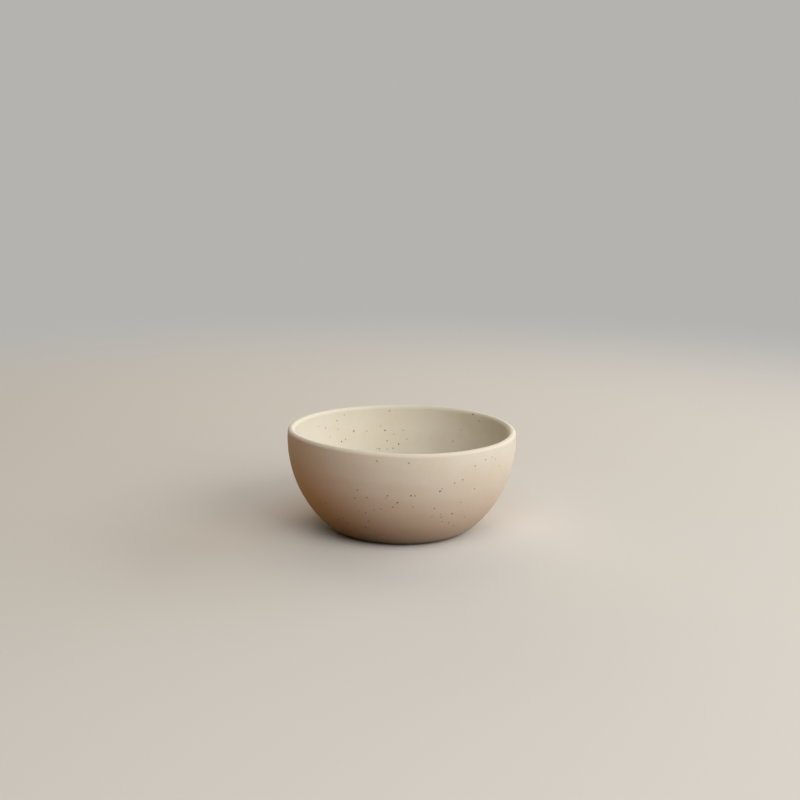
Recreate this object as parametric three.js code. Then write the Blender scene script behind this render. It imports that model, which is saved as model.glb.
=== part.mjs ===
// Snack bowl: a fired stoneware body and the three coats of glaze that melted onto it.
// Millimetres, +Z up, origin at the centre of the foot on the table.
// Every piece is a profile turned about Z, given as [radius, height] points.

import * as THREE from 'three';

// Overall form, over the glaze
const bowlDiameter = 120; // at the widest ring, just under the rim
const bowlHeight = 53.1;
const lipThickness = 3.6; // across the rounded lip
const footDiameter = 59.4; // outer edge of the flat ring that stands on the table
const footEdgeRadius = 16; // turn from the wall under to the foot

// Inside, over the glaze
const insideRise = 3.4; // the inside's centre above the outside's, so the wall thickens downwards
const floorHeight = 6; // middle of the inside floor above the table
const floorTurnRadius = 24; // turn from the inside wall into the floor

// Underside
const footRingWidth = 4.5; // flat ring of bare clay
const wellDepth = 1.6; // shallow well inside the ring
const wellCoveRadius = 1; // hollow corner of the well

// Glaze
const glazeThickness = 0.35;
const bondGap = 0.05; // clearance between clay and glaze, and between the coats at the lip
const bareFootWidth = 5; // wiped band of the foot's edge, along the curve, up to the glaze line
const wellBareWidth = 1.2; // wiped border of the well's ceiling, inside its cove

// Facets
const turnSegments = 48;
const arcStep = THREE.MathUtils.degToRad(10);
const lipStep = THREE.MathUtils.degToRad(22.5);
const samePoint = 0.005; // profile points closer than this are one

const right = Math.PI / 2; // a right angle
const coat = glazeThickness + bondGap; // clay surface to finished surface

// Outside: a ball of the bowl's radius, joined to the table by the foot's edge, both tangent
const ballRadius = bowlDiameter / 2;
const footRadius = footDiameter / 2;
const clayEdgeRadius = footEdgeRadius - coat;
const edgeCentre = [footRadius, clayEdgeRadius];
const edgeReach = ballRadius - coat - clayEdgeRadius; // ball's centre to the edge's centre
const ballCentre = [0, clayEdgeRadius + Math.sqrt(edgeReach ** 2 - footRadius ** 2)];
const edgeTurn = Math.atan2(edgeCentre[1] - ballCentre[1], edgeCentre[0]); // edge meets ball

// Lip: a round bead that the ball holds from outside, and that tops out at the bowl's height
const lipRadius = lipThickness / 2;
const lipReach = ballRadius - lipRadius;
const lipTurn = Math.asin((bowlHeight - lipRadius - ballCentre[1]) / lipReach);
const lipCentre = [lipReach * Math.cos(lipTurn), bowlHeight - lipRadius];
const widestTurn = Math.min(0, lipTurn); // widest ring, or the lip on a bowl too low for it

// Inside: a ball that touches the lip's bead, then a tighter turn into a flat floor
const innerCentre = [0, ballCentre[1] + insideRise];
const lipRun = Math.hypot(lipCentre[0], lipCentre[1] - innerCentre[1]);
const innerRadius = lipRun - lipRadius;
const innerTop = Math.atan2(lipCentre[1] - innerCentre[1], lipCentre[0]); // ball meets lip
const floorTurnHeight = floorHeight + floorTurnRadius;
const floorTurnReach = innerRadius - floorTurnRadius;
const floorTurnDrop = floorTurnHeight - innerCentre[1];
const floorFlatRadius = Math.sqrt(floorTurnReach ** 2 - floorTurnDrop ** 2);
const floorTurnCentre = [floorFlatRadius, floorTurnHeight];
const floorTurnStart = Math.atan2(floorTurnDrop, floorFlatRadius); // ball meets turn

const wellRadius = footRadius - footRingWidth;

// Points of an arc about a centre, its angles counted from the outward direction
function arc(centre, radius, from, to, step = arcStep) {
  const count = Math.max(2, Math.ceil(Math.abs(to - from) / step));
  return Array.from({ length: count + 1 }, (_, i) => {
    const angle = from + ((to - from) * i) / count;
    return [centre[0] + radius * Math.cos(angle), centre[1] + radius * Math.sin(angle)];
  });
}

// Outside surface at a height over the clay, from an angle on the foot's edge up to the lip
function outsideWall(over, from) {
  return [
    ...arc(edgeCentre, clayEdgeRadius + over, from, edgeTurn),
    ...arc(ballCentre, ballRadius - coat + over, edgeTurn, widestTurn),
    ...arc(ballCentre, ballRadius - coat + over, widestTurn, lipTurn),
  ];
}

// Lip's outer half, up to its crest, at a height over the clay
function lipOutside(over) {
  return arc(lipCentre, lipRadius - coat + over, lipTurn, right, lipStep);
}

// Lip's inner half, from its crest, then the inside surface down to the middle of the floor
function insideWall(over, crest = right) {
  return [
    ...arc(lipCentre, lipRadius - coat + over, crest, Math.PI + innerTop, lipStep),
    ...arc(innerCentre, innerRadius + coat - over, innerTop, floorTurnStart),
    ...arc(floorTurnCentre, floorTurnRadius + coat - over, floorTurnStart, -right),
    [0, floorHeight - coat + over],
  ];
}

// Well's ceiling and cove, from the axis out to the foot ring's inner edge
function wellSurface() {
  const coveCentre = [wellRadius - wellCoveRadius, wellDepth - wellCoveRadius];
  return [[0, wellDepth], ...arc(coveCentre, wellCoveRadius, right, 0, lipStep), [wellRadius, 0]];
}

// Solid turned about Z from a profile that leaves and returns to the axis, or that closes on itself
function turned(profile) {
  const apart = profile.filter((point, i) => {
    const last = profile[i - 1];
    return !last || Math.hypot(point[0] - last[0], point[1] - last[1]) > samePoint;
  });
  const points = apart.map(([radius, height]) => new THREE.Vector2(radius, height));
  return new THREE.LatheGeometry(points, turnSegments).rotateX(right);
}

function stonewareBody() {
  return turned([
    ...wellSurface(),
    ...outsideWall(0, -right),
    ...lipOutside(0),
    ...insideWall(0),
  ]);
}

// Outer coat: glaze line on the foot's edge up to the crest of the lip, and back along the clay
function outerGlaze() {
  const glazeLine = -right + bareFootWidth / clayEdgeRadius;
  const face = [...outsideWall(coat, glazeLine), ...lipOutside(coat)];
  const back = [...outsideWall(bondGap, glazeLine), ...lipOutside(bondGap)].reverse();
  return turned([...face, ...back, face[0]]);
}

// Liner: along the clay from the middle of the floor to the crest, and back over the inside
function linerGlaze() {
  const crest = right + bondGap / (lipRadius - coat); // clear of the outer coat
  const back = insideWall(bondGap, crest).reverse();
  return turned([...back, ...insideWall(coat, crest)]);
}

// Coat on the well's ceiling, its lower edge drawn in by its own thickness
function footWellGlaze() {
  const rim = wellRadius - wellCoveRadius - wellBareWidth;
  const top = wellDepth - bondGap;
  const bottom = top - glazeThickness;
  return turned([[0, bottom], [rim - glazeThickness, bottom], [rim, top], [0, top]]);
}

function piece(name, geometry, color, roughness) {
  const mesh = new THREE.Mesh(
    geometry,
    new THREE.MeshStandardMaterial({ color, roughness, metalness: 0 }),
  );
  mesh.name = name;
  return mesh;
}

const bowl = new THREE.Group();
bowl.add(
  piece('stoneware_body', stonewareBody(), '#b79d7e', 0.85),
  piece('liner_glaze', linerGlaze(), '#e2d9c7', 0.45),
  piece('outer_glaze', outerGlaze(), '#e2d9c7', 0.45),
  piece('foot_well_glaze', footWellGlaze(), '#ddd3c0', 0.5),
);

export default bowl;
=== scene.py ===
import math

import bpy
import numpy as np
from mathutils import Matrix, Vector
from mathutils.bvhtree import BVHTree


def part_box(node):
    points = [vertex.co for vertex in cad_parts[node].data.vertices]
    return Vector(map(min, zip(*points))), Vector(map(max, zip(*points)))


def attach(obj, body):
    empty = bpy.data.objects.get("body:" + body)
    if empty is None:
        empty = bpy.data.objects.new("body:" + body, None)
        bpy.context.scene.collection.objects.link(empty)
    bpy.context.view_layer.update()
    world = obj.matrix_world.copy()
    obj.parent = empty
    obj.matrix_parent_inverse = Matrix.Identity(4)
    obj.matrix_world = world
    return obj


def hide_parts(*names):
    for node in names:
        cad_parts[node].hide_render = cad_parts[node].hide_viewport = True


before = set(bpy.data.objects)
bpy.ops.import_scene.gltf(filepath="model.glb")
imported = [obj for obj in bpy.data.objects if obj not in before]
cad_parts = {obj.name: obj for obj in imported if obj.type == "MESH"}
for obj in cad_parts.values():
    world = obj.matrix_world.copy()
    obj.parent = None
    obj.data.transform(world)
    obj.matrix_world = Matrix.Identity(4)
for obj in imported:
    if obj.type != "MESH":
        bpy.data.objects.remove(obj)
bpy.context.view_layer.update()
mm = 0.001  # shapes are worked out in millimetres and written to the meshes in metres

print("frame loaded:", ", ".join(sorted(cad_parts)))


def linearColour(code):  # sRGB hex to linear light, with alpha
    channels = np.array([int(code[at:at + 2], 16) for at in (1, 3, 5)]) / 255
    linear = np.where(channels <= 0.04045, channels / 12.92, ((channels + 0.055) / 1.055) ** 2.4)
    return (*linear.tolist(), 1.0)


def emptyTree(owner):  # node tree of a material or world, with nothing in it
    owner.use_nodes = True
    owner.node_tree.nodes.clear()
    return owner.node_tree


def addNode(tree, kind, settings=None, inputs=None):  # one node with its settings, values and links
    node = tree.nodes.new(kind)
    for name, value in (settings or {}).items():
        setattr(node, name, value)
    for name, value in (inputs or {}).items():
        if isinstance(value, bpy.types.NodeSocket):
            tree.links.new(value, node.inputs[name])
        else:
            node.inputs[name].default_value = value
    return node


# Profile of the clay, in millimetres: radius and height, walked anticlockwise with the clay on the left

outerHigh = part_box("outer_glaze")[1]
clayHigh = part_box("stoneware_body")[1]
wellLow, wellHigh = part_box("foot_well_glaze")

bowl = {
    "radius": outerHigh.x / mm,  # widest, over the glaze
    "height": outerHigh.z / mm,
    "coat": (outerHigh.x - clayHigh.x) / mm,  # clay surface to glaze surface
    "bondGap": 0.05,  # glaze's back clear of the clay
    "lipOutside": (1.9, 1.7),  # lip's outer round: across and down from its crest
    "lipInside": (1.7, 1.8),  # its inner round
    "crestHair": 0.01,  # level hair of crest, so that both coats shade alike there
    "footRadius": 29.7,  # outer edge of the ring that the bowl stands on
    "footEdge": 16.0,  # turn from wall to foot
    "insideRise": 3.4,  # inside's centre over the outside's
    "floorHeight": 6.0,
    "floorTurn": 24.0,  # turn from inside wall to floor
    "floorDish": 0.3,  # the floor's middle sinks a little
    "ringWidth": 4.5,
    "ringRound": 0.6,  # worn inner edge of the foot ring
    "wellDepth": 1.6,
    "wellCove": 1.0,
}
fineness = {  # points along each stretch of a profile, and round the bowl
    "footEdge": 28,
    "wall": 64,
    "lip": 14,
    "insideWall": 52,
    "floorTurn": 32,
    "floor": 24,
    "well": 12,
    "cove": 8,
    "ring": 6,
    "wellCoat": 20,
    "wellCoatEdge": 9,
    "round": 288,
    "sharpFrom": 50,  # degrees; an edge turned by more than this isn't shaded smooth
}
quarterPull = 0.552  # handle length of a Bezier curve that follows a quarter of a circle
right = math.pi / 2  # a right angle


def arcPoints(centre, radius, start, stop, count):  # circle arc, angles from the outward direction
    angle = np.linspace(start, stop, count)
    return np.stack([centre[0] + radius * np.cos(angle), centre[1] + radius * np.sin(angle)], 1)


def bendPoints(start, startWay, stop, stopWay, count):  # cubic Bezier close to a quarter of an ellipse
    start, stop = np.array(start), np.array(stop)
    startWay, stopWay = np.array(startWay), np.array(stopWay)
    run = np.abs(stop - start)
    first = start + quarterPull * startWay * np.dot(run, np.abs(startWay))
    second = stop - quarterPull * stopWay * np.dot(run, np.abs(stopWay))
    t = np.linspace(0, 1, count)[:, None]
    leaving = (1 - t) ** 3 * start + 3 * t * (1 - t) ** 2 * first
    arriving = 3 * t ** 2 * (1 - t) * second + t ** 3 * stop
    return leaving + arriving


def joined(*stretches):  # stretches end to end, each shared point once
    return np.concatenate([stretches[0]] + [stretch[1:] for stretch in stretches[1:]])


def outwardWays(points):  # unit normals of a profile, to the right of its way
    way = np.gradient(points, axis=0)
    normal = np.stack([way[:, 1], -way[:, 0]], 1)
    return normal / np.linalg.norm(normal, axis=1, keepdims=True)


clayBall = bowl["radius"] - bowl["coat"]
clayEdge = bowl["footEdge"] - bowl["coat"]
ballHeight = clayEdge + math.sqrt((clayBall - clayEdge) ** 2 - bowl["footRadius"] ** 2)
edgeTurn = math.atan2(clayEdge - ballHeight, bowl["footRadius"])  # foot's edge meets the ball
lipHeight = bowl["height"] - bowl["lipOutside"][1]
lipTurn = math.asin((lipHeight - ballHeight) / clayBall)  # ball meets the lip
lipOutside = np.array([clayBall * math.cos(lipTurn), lipHeight])
lipCrest = np.array([
    lipOutside[0] - bowl["lipOutside"][0] + bowl["coat"],
    bowl["height"] - bowl["coat"],
])
lipInside = lipCrest - bowl["lipInside"] + (bowl["coat"], bowl["coat"])
insideHeight = ballHeight + bowl["insideRise"]
insideBall = math.hypot(lipInside[0], lipInside[1] - insideHeight)
insideTop = math.atan2(lipInside[1] - insideHeight, lipInside[0])  # lip meets the inside's ball
clayTurn = bowl["floorTurn"] + bowl["coat"]
clayFloor = bowl["floorHeight"] - bowl["coat"]
turnDrop = clayFloor + clayTurn - insideHeight
floorFlat = math.sqrt((insideBall - clayTurn) ** 2 - turnDrop ** 2)
turnStart = math.atan2(turnDrop, floorFlat)  # inside's ball meets the turn
hair = np.array([bowl["crestHair"], 0])


def outsideProfile():  # foot's edge, ball, outer half of the lip up to its crest
    uphill = (-math.sin(lipTurn), math.cos(lipTurn))
    return joined(
        arcPoints((bowl["footRadius"], clayEdge), clayEdge, -right, edgeTurn, fineness["footEdge"]),
        arcPoints((0, ballHeight), clayBall, edgeTurn, lipTurn, fineness["wall"]),
        bendPoints(lipOutside, uphill, lipCrest, (-1, 0), fineness["lip"]),
        np.stack([lipCrest, lipCrest - hair]),
    )


def insideProfile():  # inner half of the lip, inside ball, turn, dished floor to the axis
    downhill = (math.sin(insideTop), -math.cos(insideTop))
    floorRun = np.linspace(floorFlat, 0, fineness["floor"])
    dish = bowl["floorDish"] * np.cos(right * floorRun / floorFlat) ** 2
    return joined(
        np.stack([lipCrest - hair, lipCrest - 2 * hair]),
        bendPoints(lipCrest - 2 * hair, (-1, 0), lipInside, downhill, fineness["lip"]),
        arcPoints((0, insideHeight), insideBall, insideTop, turnStart, fineness["insideWall"]),
        arcPoints((floorFlat, clayFloor + clayTurn), clayTurn, turnStart, -right, fineness["floorTurn"]),
        np.stack([floorRun, clayFloor - dish], 1),
    )


def undersideProfile():  # well's ceiling from the axis, cove, rounded inner edge of the ring, flat ring
    wellRadius = bowl["footRadius"] - bowl["ringWidth"]
    cove, edge = bowl["wellCove"], bowl["ringRound"]
    ceiling = np.linspace(0, wellRadius - cove, fineness["well"])
    ring = np.linspace(wellRadius + edge, bowl["footRadius"], fineness["ring"])
    return joined(
        np.stack([ceiling, np.full_like(ceiling, bowl["wellDepth"])], 1),
        arcPoints((wellRadius - cove, bowl["wellDepth"] - cove), cove, right, 0, fineness["cove"]),
        arcPoints((wellRadius + edge, edge), edge, 2 * right, 3 * right, fineness["cove"]),
        np.stack([ring, np.zeros_like(ring)], 1),
    )


# Turned pieces

hand = {  # how far a hand-finished bowl strays from true, in mm: (lobes, size, turn in degrees)
    "outOfRound": [(2, 0.12, 100), (3, 0.05, 60), (5, 0.03, 65)],
    "rimWave": [(1, 0.18, 212), (2, 0.12, 90), (4, 0.06, 190), (5, 0.03, 20)],
    "humpAt": 225,  # a high stretch of the rim: its middle, degrees round
    "humpReach": (45, 50),  # degrees each way
    "humpSize": 1.15,
    "waveFall": 3,  # power of the height by which the wave dies away below the rim
    "ringPitch": 8.5,  # faint rings left by turning
    "ringDepth": 0.025,
}
roundAngles = np.linspace(0, 2 * math.pi, fineness["round"], endpoint=False)


def lobes(rows, angle):  # sum of cosine lobes round the bowl
    return sum(size * np.cos(count * angle - math.radians(turn)) for count, size, turn in rows)


def handFinished(points):  # true points moved out of round, more towards the rim; the foot stays flat
    x, y, z = np.moveaxis(points, -1, 0)
    radius, angle = np.hypot(x, y), np.arctan2(y, x)
    rise = np.clip(z / bowl["height"], 0, 1)
    rings = hand["ringDepth"] * np.sin(2 * math.pi * z / hand["ringPitch"] + angle)
    share = np.clip(radius / bowl["footRadius"], 0, 1) * rise
    grown = radius + share * lobes(hand["outOfRound"], angle) + share * rings
    off = (np.degrees(angle) - hand["humpAt"] + 180) % 360 - 180
    hump = hand["humpSize"] * np.exp(-(off / np.where(off < 0, *hand["humpReach"])) ** 2)
    lifted = z + rise ** hand["waveFall"] * (lobes(hand["rimWave"], angle) + hump)
    return np.stack([grown * np.cos(angle), grown * np.sin(angle), lifted], -1)


def turnedLoops(profile):  # (steps, turns, 3): a profile, or one profile for each turn, carried round Z
    profile = profile if profile.ndim == 3 else profile[:, None, :]
    radius, height = np.broadcast_arrays(profile[..., 0], profile[..., 1] + 0 * roundAngles)
    return handFinished(np.stack([radius * np.cos(roundAngles), radius * np.sin(roundAngles), height], -1))


def turnedPiece(name, profile, node, poles):  # closed skin of quads, with fans at poles on the axis
    loops = turnedLoops(profile)
    steps, turns = loops.shape[:2]
    places = loops.reshape(-1, 3)
    index = np.arange(steps * turns).reshape(steps, turns)
    fans = []
    if poles:
        first, last = steps * turns, steps * turns + 1
        places = np.concatenate([places, loops[:1, 0], loops[-1:, 0]])
        index = index[1:-1]
        fans = np.concatenate([
            np.stack([np.full(turns, first), np.roll(index[0], -1), index[0]], 1),
            np.stack([np.full(turns, last), index[-1], np.roll(index[-1], -1)], 1),
        ]).tolist()
    else:
        index = np.concatenate([index, index[:1]])
    here, above = index[:-1], index[1:]
    quads = np.stack([here, np.roll(here, -1, 1), np.roll(above, -1, 1), above], -1).reshape(-1, 4)
    used = np.unique(np.concatenate([quads.ravel(), np.array(fans, int).ravel()]))
    renumber = np.zeros(len(places), int)
    renumber[used] = np.arange(len(used))
    faces = renumber[quads].tolist() + [renumber[fan].tolist() for fan in fans]
    mesh = bpy.data.meshes.new(name)
    mesh.from_pydata(places[used] * mm, [], faces)
    mesh.shade_smooth()
    mesh.set_sharp_from_angle(angle=math.radians(fineness["sharpFrom"]))
    mesh.validate()
    piece = bpy.data.objects.new(name, mesh)
    bpy.context.scene.collection.objects.link(piece)
    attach(piece, "root")
    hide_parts(node)
    print(f"{name}: {len(mesh.vertices)} points, {len(mesh.polygons)} faces")
    return piece


glazeEdge = {  # the outer coat's lower edge, in mm along the foot's curve
    "line": 5.0,  # bare clay from the ring up to the glaze
    "wander": [(3, 0.35, 30), (7, 0.2, 110), (13, 0.1, 250)],
    "round": 0.5,  # rolled edge
    "bead": 0.12,  # extra thickness where the glaze drew up
    "beadPlace": 1.1,
    "beadWidth": 0.7,
    "fineSteps": 15,  # points that crowd towards the edge
    "crowding": 1.6,
    "fineReach": 2.4,
    "wallFrom": 8.0,  # from here up along the clay the wall's own points serve
}


def outerGlazeProfile():  # coat's face from its rolled edge to the crest and back, for each turn
    edge = glazeEdge
    clay = outsideProfile()
    run = np.concatenate([[0], np.cumsum(np.linalg.norm(np.diff(clay, axis=0), axis=1))])
    ways = outwardWays(clay)
    line = edge["line"] + lobes(edge["wander"], roundAngles)
    fine = np.linspace(0, 1, edge["fineSteps"], endpoint=False) ** edge["crowding"] * edge["fineReach"]
    coarse = run[run > edge["wallFrom"]] - edge["wallFrom"] + edge["fineReach"]
    step = np.concatenate([fine, coarse])
    share = step / step[-1]
    along = line + share[:, None] * (run[-1] - line)
    past = along - line
    rolled = np.sqrt(1 - np.clip(1 - past / edge["round"], 0, 1) ** 2)
    bead = edge["bead"] * np.exp(-((past - edge["beadPlace"]) / edge["beadWidth"]) ** 2)
    over = bowl["bondGap"] + (bowl["coat"] - bowl["bondGap"] + bead) * rolled
    base = np.stack([np.interp(along, run, clay[:, axis]) for axis in (0, 1)], -1)
    normal = np.stack([np.interp(along, run, ways[:, axis]) for axis in (0, 1)], -1)
    face = base + over[..., None] * normal
    back = base + bowl["bondGap"] * normal
    return np.concatenate([face, back[::-2]])


def linerProfile():  # back along the clay from the axis up to the crest, then the face down to the axis
    clay = insideProfile()
    ways = outwardWays(clay)
    ways[-1] = (0, 1)  # level on the axis
    face = clay + bowl["coat"] * ways
    back = clay + bowl["bondGap"] * ways
    return np.concatenate([back[::-1], face])


def wellGlazeProfile():  # thin disc under the well's ceiling with a rolled edge
    rim, top, bottom = wellHigh.x / mm, wellHigh.z / mm, wellLow.z / mm
    half = (top - bottom) / 2
    reach = np.linspace(0, rim - half, fineness["wellCoat"])
    return joined(
        np.stack([reach, np.full_like(reach, bottom)], 1),
        arcPoints((rim - half, bottom + half), half, -right, right, fineness["wellCoatEdge"]),
        np.stack([reach[::-1], np.full_like(reach, top)], 1),
    )


clayBody = turnedPiece(
    "stoneware_clay", joined(undersideProfile(), outsideProfile(), insideProfile()),
    "stoneware_body", True)
outerGlaze = turnedPiece(
    "outer_glaze_coat", outerGlazeProfile(), "outer_glaze", False)
linerGlaze = turnedPiece(
    "liner_glaze_coat", linerProfile(), "liner_glaze", True)
wellGlaze = turnedPiece(
    "foot_well_glaze_coat", wellGlazeProfile(), "foot_well_glaze", True)


# Camera, as the photograph was taken

camera = {
    "imageSide": 800,  # pixels
    "focal": 1319.5,  # pixels
    "place": (0.0, -676.3, 210.2),  # mm
    "yaw": -0.094,  # degrees
    "pitch": 11.874,
    "roll": 0.619,
    "sensor": 36.0,  # mm
    "clip": (0.01, 20.0),  # metres
}


def cameraMatrix():  # looks along yaw and pitch from its place, then rolls about that way
    yaw, pitch, roll = (math.radians(camera[name]) for name in ("yaw", "pitch", "roll"))
    ahead = Vector((math.sin(yaw) * math.cos(pitch), math.cos(yaw) * math.cos(pitch), -math.sin(pitch)))
    level = Vector((math.cos(yaw), -math.sin(yaw), 0))
    over = level.cross(ahead)
    side = level * math.cos(roll) + over * math.sin(roll)
    up = over * math.cos(roll) - level * math.sin(roll)
    turned = Matrix((side, up, -ahead)).transposed().to_4x4()
    return Matrix.Translation(Vector(camera["place"]) * mm) @ turned


lens = bpy.data.cameras.new("photo_camera")
lens.sensor_width = camera["sensor"]
lens.lens = camera["focal"] / camera["imageSide"] * camera["sensor"]
lens.clip_start, lens.clip_end = camera["clip"]
photoCamera = bpy.data.objects.new("photo_camera", lens)
photoCamera.matrix_world = cameraMatrix()
bpy.context.scene.collection.objects.link(photoCamera)
bpy.context.scene.camera = photoCamera


# Iron specks

specks = {  # seen in the photograph, as pixels of its 800 x 800 frame; size and strength by group
    "inside": {
        "strong": [(385, 430.4), (398.7, 444), (473, 414.4), (341.6, 441.6)],
        "plain": [(337, 420.7), (325.8, 427.8), (345.5, 439.3), (389.4, 410.9), (387.2, 440.8),
                  (379.3, 448.9), (393, 448.2), (479.3, 421)],
        "faint": [(338, 429.1), (403.1, 430.2), (344.3, 415.2), (318.5, 426.5), (366.8, 430.9),
                  (330, 436.9), (380.5, 426.2), (394, 434.2), (376.8, 448.6), (387.2, 448.9),
                  (407.1, 439.3), (460.8, 430.2), (453, 441.2)],
        "rust": [(353.8, 431.1)],
    },
    "outside": {
        "strong": [(397.4, 502.7), (410.8, 495.7), (440, 491.3), (452.1, 513.6)],
        "plain": [(377, 461.1), (409, 463.1), (462.7, 479.8), (357.4, 490), (366.9, 497.6),
                  (387.5, 495.8), (414.9, 495.9), (392.6, 507.2), (454.6, 483), (474.5, 488.9),
                  (485.8, 459.7), (475.2, 465.9), (434.5, 508.5), (441.4, 517.2), (448.7, 522.8),
                  (453.5, 525.8), (368.6, 521), (339.2, 519.2), (365.6, 527.4), (354.9, 498.1),
                  (365.6, 512.8), (343, 518.1), (347, 523.1)],
        "faint": [(492.2, 457.4), (413, 507), (442.1, 521.7), (499.1, 465.8), (495.5, 459.2),
                  (442.2, 489), (460.9, 502.2), (440.7, 514.4), (431.7, 516.6), (464.8, 516.8),
                  (481.7, 508.3), (380.9, 508.9), (374, 510.1), (358.8, 511), (334, 522.1),
                  (355.7, 528.5), (375, 530.6), (325.8, 503.4), (386, 498)],
    },
    "across": {"strong": 1.35, "plain": 1.3, "faint": 1.25, "rust": 2.0},  # mm
    "strength": {"strong": 0.88, "plain": 0.55, "faint": 0.36, "rust": 0.8},
    "blur": 0.7,  # share of a speck's radius over which it fades
}


def speckPlaces(side, piece):  # rays through the pixels, cast from the camera onto the coat
    surface = BVHTree.FromObject(piece, bpy.context.evaluated_depsgraph_get())
    half = camera["imageSide"] / 2
    turned = photoCamera.matrix_world.to_3x3()
    found = []
    for group, pixels in specks[side].items():
        for x, y in pixels:
            way = turned @ Vector(((x - half) / camera["focal"], (half - y) / camera["focal"], -1))
            place = surface.ray_cast(photoCamera.matrix_world.translation, way.normalized())[0]
            if place is not None:
                found.append((group, place))
    print(f"{side}: {len(found)} specks set on {piece.name}")
    return found


# Finishes

glazeLook = {  # matte cream stoneware glaze: soft, chalky, faintly clouded, iron specks melted through it
    # the inside's creams are painted darker and warmer than the outside's: painted shade for the dimmer
    # light inside the bowl
    "cream": {"outside": "#dedbcb", "inside": "#d9d0bd", "underside": "#dad3c1"},
    "warmCream": {"outside": "#dcd7c4", "inside": "#d7ccb8", "underside": "#d8ceb9"},  # a thinner coat; the inside's is also darkened, as painted shade
    "lipCream": "#dfd6c2",  # two coats overlap on the lip
    "lipRamp": (3.0, 0.3),  # mm under the rim's true height where that colour begins and is full
    "iron": "#5d4733",
    "rust": "#b48843",
    "cloud": 16.0,  # mm
    "cloudSpan": (0.35, 0.68),  # noise values that go from cream to warm cream
    "grain": 0.9,  # mm; the real one is too fine to show, so it is drawn coarser
    "grainShade": 0.015,  # lighter and darker by this share
    "peel": 2.6,  # slow ripple of the melted surface
    "peelDepth": 0.012,
    "noiseSpan": (0.3, 0.7),  # values that a noise mostly keeps to
    "roughness": (0.6, 0.7),
    "ior": 1.5,
    "specular": 0.1,  # crystals in the matte skin scatter most of the mirror reflection
    "speckCell": 4.6,  # spacing of scattered specks, mm
    "speckReach": 0.6,
    "speckBlur": 0.35,  # share of a scattered speck's radius over which it fades
    "ragged": 0.3,  # how far a speck's outline strays, mm
    "raggedSize": 0.7,
    "unseen": 8.0,  # mm each side of the middle over which the scattered specks come in
}


def perMetre(size):  # texture scale for a pattern of that size in mm
    return 1 / (size * mm)


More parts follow.
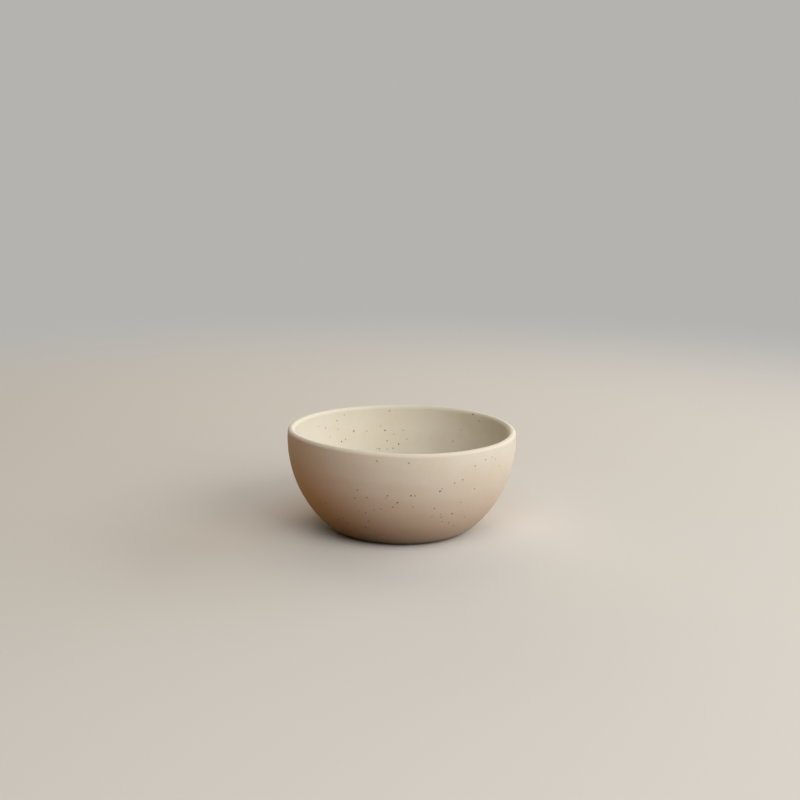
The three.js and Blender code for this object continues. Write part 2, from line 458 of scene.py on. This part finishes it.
def glazeMaterial(side, places, hidden):  # hidden: 1 scatters specks at the back, -1 at the front
    material = bpy.data.materials.new(f"matte cream glaze, {side}")
    tree = emptyTree(material)
    look = glazeLook
    noiseLow, noiseHigh = look["noiseSpan"]
    where = addNode(tree, "ShaderNodeTexCoord").outputs["Object"]
    axes = addNode(tree, "ShaderNodeSeparateXYZ", inputs={0: where}).outputs

    cloud = addNode(tree, "ShaderNodeTexNoise", inputs={
        "Vector": where, "Scale": perMetre(look["cloud"]),
        "Detail": 3.0, "Roughness": 0.55}).outputs["Fac"]
    thinner = addNode(tree, "ShaderNodeMapRange", {"interpolation_type": "SMOOTHSTEP"}, {
        "Value": cloud, "From Min": look["cloudSpan"][0],
        "From Max": look["cloudSpan"][1]}).outputs["Result"]
    # on the inside, both creams carry painted shade
    cream = addNode(tree, "ShaderNodeMix", {"data_type": "RGBA"}, {
        "Factor": thinner, "A": linearColour(look["cream"][side]),
        "B": linearColour(look["warmCream"][side])}).outputs["Result"]
    onLip = addNode(tree, "ShaderNodeMapRange", {"interpolation_type": "SMOOTHSTEP"}, {
        "Value": axes["Z"], "From Min": (bowl["height"] - look["lipRamp"][0]) * mm,
        "From Max": (bowl["height"] - look["lipRamp"][1]) * mm}).outputs["Result"]
    lipped = addNode(tree, "ShaderNodeMix", {"data_type": "RGBA"}, {
        "Factor": onLip, "A": cream, "B": linearColour(look["lipCream"])}).outputs["Result"]
    grain = addNode(tree, "ShaderNodeTexNoise", inputs={
        "Vector": where, "Scale": perMetre(look["grain"]), "Detail": 2.0}).outputs["Fac"]
    lightness = addNode(tree, "ShaderNodeMapRange", inputs={
        "Value": grain, "From Min": noiseLow, "From Max": noiseHigh,
        "To Min": 1 - look["grainShade"], "To Max": 1 + look["grainShade"]}).outputs["Result"]
    grained = addNode(tree, "ShaderNodeHueSaturation", inputs={
        "Value": lightness, "Color": lipped}).outputs["Color"]

    stray = addNode(tree, "ShaderNodeTexNoise", inputs={
        "Vector": where, "Scale": perMetre(look["raggedSize"]), "Detail": 1.0}).outputs["Color"]
    pushed = addNode(tree, "ShaderNodeVectorMath", {"operation": "MULTIPLY_ADD"}, {
        0: stray, 1: (look["ragged"] * mm,) * 3, 2: where}).outputs["Vector"]
    ragged = addNode(tree, "ShaderNodeVectorMath", {"operation": "SUBTRACT"}, {
        0: pushed, 1: (look["ragged"] * mm / 2,) * 3}).outputs["Vector"]
    scatter = addNode(tree, "ShaderNodeTexVoronoi", inputs={
        "Vector": ragged, "Scale": perMetre(look["speckCell"])}).outputs
    reach = look["speckReach"] / look["speckCell"]
    scattered = addNode(tree, "ShaderNodeMapRange", {"interpolation_type": "SMOOTHSTEP"}, {
        "Value": scatter["Distance"], "From Min": reach,
        "From Max": reach * (1 - look["speckBlur"])}).outputs["Result"]
    chance = addNode(tree, "ShaderNodeSeparateColor", inputs={0: scatter["Color"]}).outputs["Red"]
    unseen = addNode(tree, "ShaderNodeMapRange", inputs={
        "Value": axes["Y"], "From Min": -hidden * look["unseen"] * mm,
        "From Max": hidden * look["unseen"] * mm}).outputs["Result"]
    weighed = addNode(tree, "ShaderNodeMath", {"operation": "MULTIPLY"}, {
        0: scattered, 1: chance}).outputs["Value"]
    iron = addNode(tree, "ShaderNodeMath", {"operation": "MULTIPLY"}, {
        0: weighed, 1: unseen}).outputs["Value"]
    rust = None
    for group, place in places:
        radius = specks["across"][group] / 2 * mm
        away = addNode(tree, "ShaderNodeVectorMath", {"operation": "DISTANCE"}, {
            0: ragged, 1: place}).outputs["Value"]
        spot = addNode(tree, "ShaderNodeMapRange", {"interpolation_type": "SMOOTHSTEP"}, {
            "Value": away, "From Min": radius, "From Max": radius * (1 - specks["blur"]),
            "To Max": specks["strength"][group]}).outputs["Result"]
        if group == "rust":
            rust = spot
        else:
            iron = addNode(tree, "ShaderNodeMath", {"operation": "MAXIMUM"}, {
                0: iron, 1: spot}).outputs["Value"]
    speckled = addNode(tree, "ShaderNodeMix", {"data_type": "RGBA"}, {
        "Factor": iron, "A": grained, "B": linearColour(look["iron"])}).outputs["Result"]
    if rust:
        speckled = addNode(tree, "ShaderNodeMix", {"data_type": "RGBA"}, {
            "Factor": rust, "A": speckled, "B": linearColour(look["rust"])}).outputs["Result"]

    peel = addNode(tree, "ShaderNodeTexNoise", inputs={
        "Vector": where, "Scale": perMetre(look["peel"]), "Detail": 2.0}).outputs["Fac"]
    dull = addNode(tree, "ShaderNodeMapRange", inputs={
        "Value": peel, "From Min": noiseLow, "From Max": noiseHigh,
        "To Min": look["roughness"][0], "To Max": look["roughness"][1]}).outputs["Result"]
    ripple = addNode(tree, "ShaderNodeBump", inputs={
        "Height": peel, "Distance": look["peelDepth"] * mm, "Strength": 1.0}).outputs["Normal"]
    shader = addNode(tree, "ShaderNodeBsdfPrincipled", inputs={
        "Base Color": speckled, "Roughness": dull, "Normal": ripple, "IOR": look["ior"],
        "Specular IOR Level": look["specular"]})
    addNode(tree, "ShaderNodeOutputMaterial", inputs={"Surface": shader.outputs["BSDF"]})
    return material


clayLook = {  # fired buff stoneware, wiped and unglazed: dry, gritty, toasted where it met the flame
    "buff": "#b99f80",
    "toast": "#a07f5c",
    "grog": "#7d6145",
    "grogSpan": (0.86, 0.96),  # chance past which a grain is dark, and past which it is darkest
    "grogStrength": 0.7,
    "cloud": 9.0,  # mm
    "grit": 0.7,
    "gritDepth": 0.06,
    "gritStrength": 0.8,
    "roughness": 0.88,
    "ior": 1.5,
}


def clayMaterial():
    material = bpy.data.materials.new("bare fired stoneware")
    tree = emptyTree(material)
    look = clayLook
    where = addNode(tree, "ShaderNodeTexCoord").outputs["Object"]
    cloud = addNode(tree, "ShaderNodeTexNoise", inputs={
        "Vector": where, "Scale": perMetre(look["cloud"]), "Detail": 3.0}).outputs["Fac"]
    clay = addNode(tree, "ShaderNodeMix", {"data_type": "RGBA"}, {
        "Factor": cloud, "A": linearColour(look["buff"]),
        "B": linearColour(look["toast"])}).outputs["Result"]
    grit = addNode(tree, "ShaderNodeTexVoronoi", inputs={
        "Vector": where, "Scale": perMetre(look["grit"])}).outputs
    shade = addNode(tree, "ShaderNodeSeparateColor", inputs={0: grit["Color"]}).outputs["Red"]
    dark = addNode(tree, "ShaderNodeMapRange", inputs={
        "Value": shade, "From Min": look["grogSpan"][0], "From Max": look["grogSpan"][1],
        "To Max": look["grogStrength"]}).outputs["Result"]
    grained = addNode(tree, "ShaderNodeMix", {"data_type": "RGBA"}, {
        "Factor": dark, "A": clay, "B": linearColour(look["grog"])}).outputs["Result"]
    bump = addNode(tree, "ShaderNodeBump", inputs={
        "Height": grit["Distance"], "Distance": look["gritDepth"] * mm,
        "Strength": look["gritStrength"]}).outputs["Normal"]
    shader = addNode(tree, "ShaderNodeBsdfPrincipled", inputs={
        "Base Color": grained, "Roughness": look["roughness"], "Normal": bump, "IOR": look["ior"]})
    addNode(tree, "ShaderNodeOutputMaterial", inputs={"Surface": shader.outputs["BSDF"]})
    return material


clayBody.data.materials.append(clayMaterial())
outerGlaze.data.materials.append(
    glazeMaterial("outside", speckPlaces("outside", outerGlaze), 1))
linerGlaze.data.materials.append(
    glazeMaterial("inside", speckPlaces("inside", linerGlaze), -1))
wellGlaze.data.materials.append(glazeMaterial("underside", [], 1))
print("finishes done")


# Stage: plain pale floor that fades into a grey backdrop, and soft light mostly from the right

stage = {
    "floorRadius": 3.0,  # metres
    "floorHub": 0.02,  # radius of the innermost ring
    "floorRings": 24,
    "floorTurns": 96,
    "sand": "#d8d1c7",  # floor as the camera sees it
    "bounce": "#a36220",  # floor as it throws light back up at the bowl
    "footBounce": "#3c220c",  # the same in the shade round the foot
    "shadeCentre": (-0.014, -0.010, 0),
    "footShade": (0.03, 0.08),  # metres from that centre
    "backBounce": "#b9977c",  # the same behind the bowl, paler
    "backFrom": (0.02, 0.14),  # metres back over which it turns to that
    "fade": (0.2, 0.9),  # metres from the bowl's axis over which the floor turns to backdrop
    "backdrop": "#b4b3b0",
    "ambient": 0.02,  # even light from all round
}
lamps = {  # softboxes: degrees round from the front and up, width and height in metres, power in watts
    "window": {"round": 110, "up": 21, "size": (2.2, 0.75), "power": 19.6, "colour": "#eef5ff"},
    "frontRight": {"round": 45, "up": 28, "size": (1.0, 1.0), "power": 13.1, "colour": "#fffffb"},
    "front": {"round": 0, "up": 50, "size": (1.0, 1.0), "power": 8.4, "colour": "#f0f6ff"},
    "back": {"round": 180, "up": 50, "size": (1.2, 0.8), "power": 4.6, "colour": "#ffe6c4"},
    "behind": {"round": 190, "up": 12, "size": (1.4, 0.5), "power": 7.2, "colour": "#fffbf2"},
    "left": {"round": 270, "up": 15, "size": (1.0, 0.8), "power": 1.2, "colour": "#ffcc54"},
}
lampDistance = 1.5  # metres
lampAim = (0, 0, 0.03)


def floorPiece():  # flat disc: rings of growing radius round a centre point
    turns = stage["floorTurns"]
    radius = np.geomspace(stage["floorHub"], stage["floorRadius"], stage["floorRings"])[:, None]
    angle = np.linspace(0, 2 * math.pi, turns, endpoint=False)
    rings = np.stack([radius * np.cos(angle), radius * np.sin(angle), 0 * radius * angle], -1)
    places = np.concatenate([np.zeros((1, 3)), rings.reshape(-1, 3)])
    index = 1 + np.arange(len(radius) * turns).reshape(len(radius), turns)
    inner, outer = index[:-1], index[1:]
    quads = np.stack([inner, outer, np.roll(outer, -1, 1), np.roll(inner, -1, 1)], -1).reshape(-1, 4)
    fan = np.stack([0 * index[0], index[0], np.roll(index[0], -1)], -1)
    mesh = bpy.data.meshes.new("floor")
    mesh.from_pydata(places, [], quads.tolist() + fan.tolist())
    floor = bpy.data.objects.new("floor", mesh)
    bpy.context.scene.collection.objects.link(floor)
    return floor


def seenDirectly(tree):  # 1 where the camera looks, straight or by a gloss or through glass
    ray = addNode(tree, "ShaderNodeLightPath").outputs
    glossed = addNode(tree, "ShaderNodeMath", {"operation": "MAXIMUM"}, {
        0: ray["Is Glossy Ray"], 1: ray["Is Transmission Ray"]}).outputs["Value"]
    return addNode(tree, "ShaderNodeMath", {"operation": "MAXIMUM"}, {
        0: ray["Is Camera Ray"], 1: glossed}).outputs["Value"]


def floorMaterial():  # flat matte paint: no grain or gloss, fading into the backdrop
    material = bpy.data.materials.new("plain painted floor")
    tree = emptyTree(material)
    seen = seenDirectly(tree)
    where = addNode(tree, "ShaderNodeTexCoord").outputs["Object"]
    away = addNode(tree, "ShaderNodeVectorMath", {"operation": "LENGTH"}, {0: where}).outputs["Value"]
    fade = addNode(tree, "ShaderNodeMapRange", {"interpolation_type": "SMOOTHERSTEP"}, {
        "Value": away, "From Min": stage["fade"][0], "From Max": stage["fade"][1]}).outputs["Result"]
    offFoot = addNode(tree, "ShaderNodeVectorMath", {"operation": "DISTANCE"}, {
        0: where, 1: stage["shadeCentre"]}).outputs["Value"]
    shade = addNode(tree, "ShaderNodeMapRange", inputs={
        "Value": offFoot, "From Min": stage["footShade"][0],
        "From Max": stage["footShade"][1]}).outputs["Result"]
    bounce = addNode(tree, "ShaderNodeMix", {"data_type": "RGBA"}, {
        "Factor": shade, "A": linearColour(stage["footBounce"]),
        "B": linearColour(stage["bounce"])}).outputs["Result"]
    depth = addNode(tree, "ShaderNodeSeparateXYZ", inputs={0: where}).outputs["Y"]
    behind = addNode(tree, "ShaderNodeMapRange", {"interpolation_type": "SMOOTHSTEP"}, {
        "Value": depth, "From Min": stage["backFrom"][0],
        "From Max": stage["backFrom"][1]}).outputs["Result"]
    thrown = addNode(tree, "ShaderNodeMix", {"data_type": "RGBA"}, {
        "Factor": behind, "A": bounce, "B": linearColour(stage["backBounce"])}).outputs["Result"]
    colour = addNode(tree, "ShaderNodeMix", {"data_type": "RGBA"}, {
        "Factor": seen, "A": thrown, "B": linearColour(stage["sand"])}).outputs["Result"]
    paint = addNode(tree, "ShaderNodeBsdfDiffuse", inputs={"Color": colour}).outputs["BSDF"]
    backdrop = addNode(tree, "ShaderNodeEmission", inputs={
        "Color": linearColour(stage["backdrop"])}).outputs["Emission"]
    faded = addNode(tree, "ShaderNodeMath", {"operation": "MULTIPLY"}, {
        0: seen, 1: fade}).outputs["Value"]
    mixed = addNode(tree, "ShaderNodeMixShader", inputs={
        0: faded, 1: paint, 2: backdrop}).outputs["Shader"]
    addNode(tree, "ShaderNodeOutputMaterial", inputs={"Surface": mixed})
    return material


def addLamp(name, facts):  # rectangular softbox that faces the bowl from its angles round and up
    light = bpy.data.lights.new(name, "AREA")
    light.shape = "RECTANGLE"
    light.size, light.size_y = facts["size"]
    light.energy = facts["power"]
    light.color = linearColour(facts["colour"])[:3]
    lamp = bpy.data.objects.new(name, light)
    turn, rise = math.radians(facts["round"]), math.radians(facts["up"])
    way = Vector((math.sin(turn) * math.cos(rise), -math.cos(turn) * math.cos(rise), math.sin(rise)))
    lamp.location = Vector(lampAim) + lampDistance * way
    lamp.rotation_mode = "QUATERNION"
    lamp.rotation_quaternion = (-way).to_track_quat("-Z", "Y")
    lamp.visible_camera = False
    bpy.context.scene.collection.objects.link(lamp)


def studioWorld():  # hardly any light of its own; the camera sees the plain backdrop grey
    world = bpy.data.worlds.new("studio")
    tree = emptyTree(world)
    ambient = addNode(tree, "ShaderNodeBackground", inputs={
        "Color": (1, 1, 1, 1), "Strength": stage["ambient"]}).outputs["Background"]
    backdrop = addNode(tree, "ShaderNodeBackground", inputs={
        "Color": linearColour(stage["backdrop"]), "Strength": 1.0}).outputs["Background"]
    mixed = addNode(tree, "ShaderNodeMixShader", inputs={
        0: seenDirectly(tree), 1: ambient, 2: backdrop}).outputs["Shader"]
    addNode(tree, "ShaderNodeOutputWorld", inputs={"Surface": mixed})
    bpy.context.scene.world = world


floorPiece().data.materials.append(floorMaterial())
for name, facts in lamps.items():
    addLamp(name, facts)
studioWorld()
bpy.context.scene.view_settings.view_transform = "Standard"
print("stage and light set")
